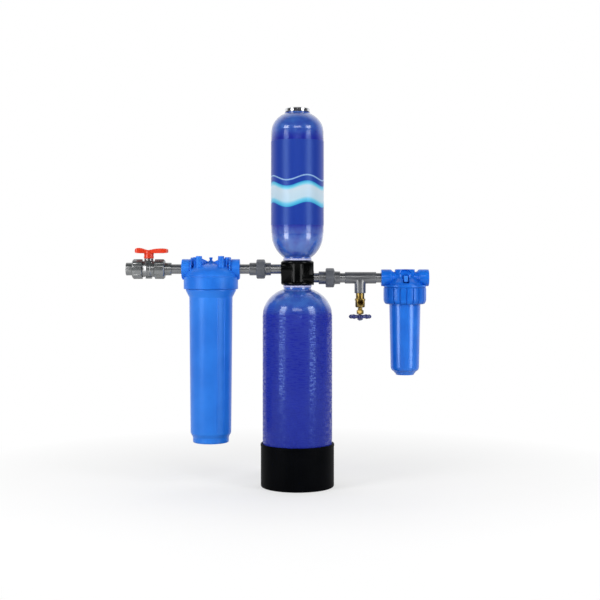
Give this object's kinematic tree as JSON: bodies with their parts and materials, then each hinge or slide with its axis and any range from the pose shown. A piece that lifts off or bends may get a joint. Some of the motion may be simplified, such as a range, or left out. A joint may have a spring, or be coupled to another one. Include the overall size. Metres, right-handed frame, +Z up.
{
  "type": "whole house water filter",
  "caption": "Free-standing water filter: stacked blue tanks in a black boot, ball valve and tall pre-filter on one side, drain tee and post-filter on the other.",
  "frame": {"origin": "centre of the boot's flat underside, on the floor", "axes": "+Z up along the tanks' axis; +X along the pipes, towards the outlet; -Y is the front"},
  "size_m": [0.9358, 0.228, 1.1681],
  "materials": {
    "boot_black": "moulded, matte",
    "tank_blue": "glossy resin over wound fibreglass",
    "ring_pale": "moulded, smooth",
    "cap_chrome": "plated, polished",
    "seal_rubber": "smooth",
    "label_film": null,
    "inner_plastic": "natural, moulded",
    "carbon_media": "granules",
    "connector_black": "moulded, glossy",
    "pvc_grey": "satin, moulded",
    "handle_red": "satin, moulded",
    "prefilter_blue": "satin, moulded",
    "spun_medium": "spun fibre",
    "valve_brass": "cast and turned",
    "screw_steel": "plated",
    "wheel_blue": "enamelled casting",
    "postfilter_blue": "glossy, moulded"
  },
  "bodies": {
    "root": {"tank_boot": "boot_black", "lower_tank": "tank_blue", "upper_tank": "tank_blue", "lower_neck_ring": "ring_pale", "upper_neck_ring": "ring_pale", "top_cap": "cap_chrome", "top_cap_o_ring": "seal_rubber", "label_sleeve": "label_film", "upper_riser_tube": "inner_plastic", "upper_distributor": "inner_plastic", "lower_riser_tube": "inner_plastic", "lower_distributor": "inner_plastic", "upper_media": "carbon_media", "lower_media": "carbon_media", "tank_connector": "connector_black", "valve_body": "pvc_grey", "valve_inlet_end": "pvc_grey", "inlet_ball_seat": "inner_plastic", "valve_outlet_end": "pvc_grey", "outlet_ball_seat": "inner_plastic", "inlet_union_socket": "pvc_grey", "inlet_union_thread_end": "pvc_grey", "inlet_union_o_ring": "seal_rubber", "outlet_union_socket": "pvc_grey", "outlet_union_thread_end": "pvc_grey", "outlet_union_o_ring": "seal_rubber", "inlet_pipe": "pvc_grey", "prefilter_pipe": "pvc_grey", "connector_inlet_pipe": "pvc_grey", "connector_outlet_pipe": "pvc_grey", "tee_inlet_pipe": "pvc_grey", "tee_outlet_pipe": "pvc_grey", "prefilter_lid": "prefilter_blue", "tee": "pvc_grey", "drain_valve_body": "valve_brass", "drain_packing_nut": "valve_brass", "postfilter_head": "postfilter_blue"},
    "ball_and_handle": {"valve_handle": "handle_red", "valve_stem": "pvc_grey", "valve_ball": "inner_plastic"},
    "inlet_end_nut": {"valve_inlet_nut": "pvc_grey"},
    "outlet_end_nut": {"valve_outlet_nut": "pvc_grey"},
    "inlet_union_ring": {"inlet_union_nut": "pvc_grey"},
    "outlet_union_ring": {"outlet_union_nut": "pvc_grey"},
    "button": {"relief_button": "prefilter_blue"},
    "prefilter_insert": {"prefilter_cartridge": "spun_medium"},
    "prefilter_bowl": {"prefilter_sump": "prefilter_blue", "prefilter_o_ring": "seal_rubber"},
    "washer": {"drain_seat_washer": "seal_rubber"},
    "wheel_and_stem": {"drain_stem": "valve_brass", "drain_handwheel": "wheel_blue", "handwheel_screw": "screw_steel"},
    "vent": {"vent_screw": "postfilter_blue"},
    "postfilter_bowl": {"postfilter_sump": "postfilter_blue", "postfilter_cartridge": "spun_medium", "postfilter_o_ring": "seal_rubber"},
    "ring_nut": {"postfilter_ring": "postfilter_blue"}
  },
  "joints": [
    {"name": "valve_turn", "type": "hinge", "parent": "root", "child": "ball_and_handle", "pos_m": [-0.4598, 0, 0.67102], "axis": [0, 0, 1], "range_deg": [0, 90]},
    {"name": "inlet_end_nut_turn", "type": "hinge", "parent": "root", "child": "inlet_end_nut", "pos_m": [-0.4598, 0, 0.67102], "axis": [-1, 0, 0], "range_deg": [0, 1080]},
    {"name": "outlet_end_nut_turn", "type": "hinge", "parent": "root", "child": "outlet_end_nut", "pos_m": [-0.4598, 0, 0.67102], "axis": [1, 0, 0], "range_deg": [0, 1080]},
    {"name": "inlet_union_turn", "type": "hinge", "parent": "root", "child": "inlet_union_ring", "pos_m": [-0.1482, 0, 0.67102], "axis": [-1, 0, 0], "range_deg": [0, 1080]},
    {"name": "outlet_union_turn", "type": "hinge", "parent": "root", "child": "outlet_union_ring", "pos_m": [0.0658, 0, 0.64402], "axis": [-1, 0, 0], "range_deg": [0, 1080]},
    {"name": "button_press", "type": "slide", "parent": "root", "child": "button", "axis": [0, 0, -1], "range_m": [0, 0.003], "stiffness_N_per_m": 300},
    {"name": "prefilter_drop", "type": "slide", "parent": "root", "child": "prefilter_insert", "axis": [0, 0, -1], "range_m": [0, 0.028]},
    {"name": "prefilter_unscrew", "type": "hinge", "parent": "prefilter_insert", "child": "prefilter_bowl", "pos_m": [-0.2677, 0, 0.6], "axis": [0, 0, -1], "range_deg": [0, 1260]},
    {"name": "washer_drop", "type": "slide", "parent": "root", "child": "washer", "axis": [0, 0, -1], "range_m": [0, 0.006]},
    {"name": "drain_wheel_turn", "type": "hinge", "parent": "washer", "child": "wheel_and_stem", "pos_m": [0.19525, 0, 0.55], "axis": [0, 0, -1], "range_deg": [0, 1080]},
    {"name": "vent_turn", "type": "hinge", "parent": "root", "child": "vent", "pos_m": [0.3325, -0.025, 0.64052], "axis": [0, -1, 0], "range_deg": [0, 720]},
    {"name": "postfilter_drop", "type": "slide", "parent": "root", "child": "postfilter_bowl", "axis": [0, 0, -1], "range_m": [0, 0.021]},
    {"name": "ring_nut_unscrew", "type": "hinge", "parent": "postfilter_bowl", "child": "ring_nut", "pos_m": [0.3325, 0, 0.6], "axis": [0, 0, -1], "range_deg": [0, 1260]}
  ],
  "couplings": [
    {"joint": "prefilter_unscrew", "follows": "prefilter_drop", "rad_per_m": 785.39},
    {"joint": "drain_wheel_turn", "follows": "washer_drop", "rad_per_m": 3141.5},
    {"joint": "ring_nut_unscrew", "follows": "postfilter_drop", "rad_per_m": 1047.1}
  ]
}
